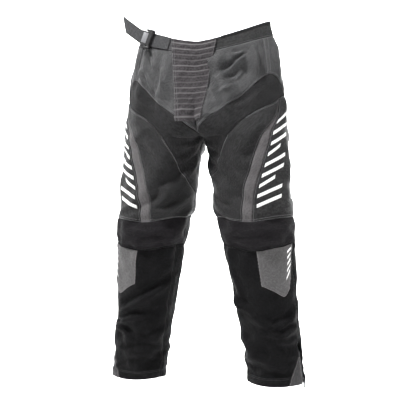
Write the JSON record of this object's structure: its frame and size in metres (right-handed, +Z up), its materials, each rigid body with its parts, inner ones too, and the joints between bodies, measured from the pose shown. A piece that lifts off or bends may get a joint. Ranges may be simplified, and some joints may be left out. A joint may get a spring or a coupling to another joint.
{
  "type": "sports over-trousers",
  "caption": "Panelled over-trousers with stretch crotch and knees, covered fly zip, webbing belt with a cam buckle, and zipped flared ankles",
  "frame": {"origin": "centre of the waist opening, level with the top of the waistband at the sides", "axes": "+Z up, the wearer faces -Y, +X is the wearer's left"},
  "size_m": [0.5928, 0.2213, 1.0491],
  "materials": {
    "waistband_webbing": "woven band",
    "elastic": "ribbed elastic",
    "hip_nylon": "plain nylon weave",
    "ribbed_fabric": "ribbed",
    "tough_fabric": "matt weave",
    "stretch_knit": "stretch knit",
    "shin_knit": "matt knit",
    "zip_metal": "satin",
    "zip_tape": "woven tape",
    "buckle_plastic": "moulded",
    "buckle_steel": "satin",
    "lever_paint": "satin",
    "belt_webbing": "webbing",
    "grey_fabric": "fine weave",
    "suede": "nubuck"
  },
  "bodies": {
    "seat": {"waistband_front_left": "waistband_webbing", "waistband_front_right": "waistband_webbing", "waistband_back": "waistband_webbing", "waist_elastic": "elastic", "hip_panel_left": "hip_nylon", "hip_panel_right": "hip_nylon", "hip_side_left": "hip_nylon", "hip_side_right": "hip_nylon", "back_yoke": "ribbed_fabric", "seat_panel_left": "tough_fabric", "seat_panel_right": "tough_fabric", "groin_stretch_left": "stretch_knit", "groin_stretch_right": "stretch_knit", "fly_zip_left": "zip_tape", "fly_zip_right": "zip_tape", "fly_zip_stop": "zip_metal", "snap_stud": "zip_metal", "buckle_frame": "buckle_plastic", "buckle_pin": "buckle_steel", "buckle_bail": "buckle_steel"},
    "fly_flap": {"fly_cover": "ribbed_fabric", "snap_socket": "zip_metal"},
    "fly_slider": {"fly_zip_slider": "zip_metal", "fly_zip_pull": "zip_metal"},
    "belt": {"belt_strap": "belt_webbing"},
    "lever": {"buckle_lever": "lever_paint"},
    "thigh_left": {"thigh_front_left": "tough_fabric", "thigh_stripe_left": "grey_fabric", "thigh_side_left": "tough_fabric", "thigh_back_left": "tough_fabric", "knee_stretch_left": "stretch_knit"},
    "shin_left": {"shin_front_left": "shin_knit", "shin_patch_left": "grey_fabric", "ankle_insert_left": "grey_fabric", "calf_back_left": "shin_knit", "calf_inner_left": "suede", "hem_facing_left": "waistband_webbing", "ankle_zip_front_left": "zip_tape", "ankle_zip_back_left": "zip_tape"},
    "ankle_slide_left": {"ankle_slider_left": "zip_metal"},
    "ankle_tab_left": {"ankle_pull_left": "zip_metal"},
    "thigh_right": {"thigh_front_right": "tough_fabric", "thigh_stripe_right": "grey_fabric", "thigh_side_right": "tough_fabric", "thigh_back_right": "tough_fabric", "knee_stretch_right": "stretch_knit"},
    "shin_right": {"shin_front_right": "shin_knit", "shin_patch_right": "grey_fabric", "ankle_insert_right": "grey_fabric", "calf_back_right": "shin_knit", "calf_inner_right": "suede", "hem_facing_right": "waistband_webbing", "ankle_zip_front_right": "zip_tape", "ankle_zip_back_right": "zip_tape"},
    "ankle_slide_right": {"ankle_slider_right": "zip_metal"},
    "ankle_tab_right": {"ankle_pull_right": "zip_metal"}
  },
  "joints": [
    {"name": "hip_left", "type": "hinge", "parent": "seat", "child": "thigh_left", "pos_m": [0.124, 0, -0.228], "axis": [-1, 0, 0], "range_deg": [0, 28], "deforming": ["groin_stretch_left"]},
    {"name": "knee_left", "type": "hinge", "parent": "thigh_left", "child": "shin_left", "pos_m": [0.162, -0.012, -0.6], "axis": [1, 0, 0], "range_deg": [0, 70], "deforming": ["knee_stretch_left"]},
    {"name": "hip_right", "type": "hinge", "parent": "seat", "child": "thigh_right", "pos_m": [-0.124, 0, -0.228], "axis": [-1, 0, 0], "range_deg": [0, 28], "deforming": ["groin_stretch_right"]},
    {"name": "knee_right", "type": "hinge", "parent": "thigh_right", "child": "shin_right", "pos_m": [-0.162, -0.012, -0.6], "axis": [1, 0, 0], "range_deg": [0, 70], "deforming": ["knee_stretch_right"]},
    {"name": "fly_flap_hinge", "type": "hinge", "parent": "seat", "child": "fly_flap", "pos_m": [-0.07077, -0.07814, -0.15203], "axis": [0.1231, -0.2301, -0.9654], "range_deg": [0, 95]},
    {"name": "fly_zip_slide", "type": "slide", "parent": "seat", "child": "fly_slider", "axis": [0, -0.1228, -0.9924], "range_m": [0, 0.13]},
    {"name": "belt_slide", "type": "slide", "parent": "seat", "child": "belt", "axis": [-0.9389, 0.2331, 0.2533], "range_m": [0, 0.025]},
    {"name": "buckle_lever_pivot", "type": "hinge", "parent": "seat", "child": "lever", "pos_m": [-0.15498, -0.04489, -0.0366], "axis": [0.2919, 0.1493, 0.9447], "range_deg": [0, 75]},
    {"name": "ankle_zip_slide_left", "type": "slide", "parent": "shin_left", "child": "ankle_slide_left", "axis": [-0.119, -0.0257, 0.9926], "range_m": [0, 0.07]},
    {"name": "ankle_pull_swing_left", "type": "hinge", "parent": "ankle_slide_left", "child": "ankle_tab_left", "pos_m": [0.29252, 0.0023, -1.01161], "axis": [-0.2132, -0.9757, -0.0508], "range_deg": [0, 140]},
    {"name": "ankle_zip_slide_right", "type": "slide", "parent": "shin_right", "child": "ankle_slide_right", "axis": [0.119, -0.0257, 0.9926], "range_m": [0, 0.07]},
    {"name": "ankle_pull_swing_right", "type": "hinge", "parent": "ankle_slide_right", "child": "ankle_tab_right", "pos_m": [-0.29252, 0.0023, -1.01161], "axis": [-0.2132, 0.9757, 0.0508], "range_deg": [0, 140]}
  ]
}
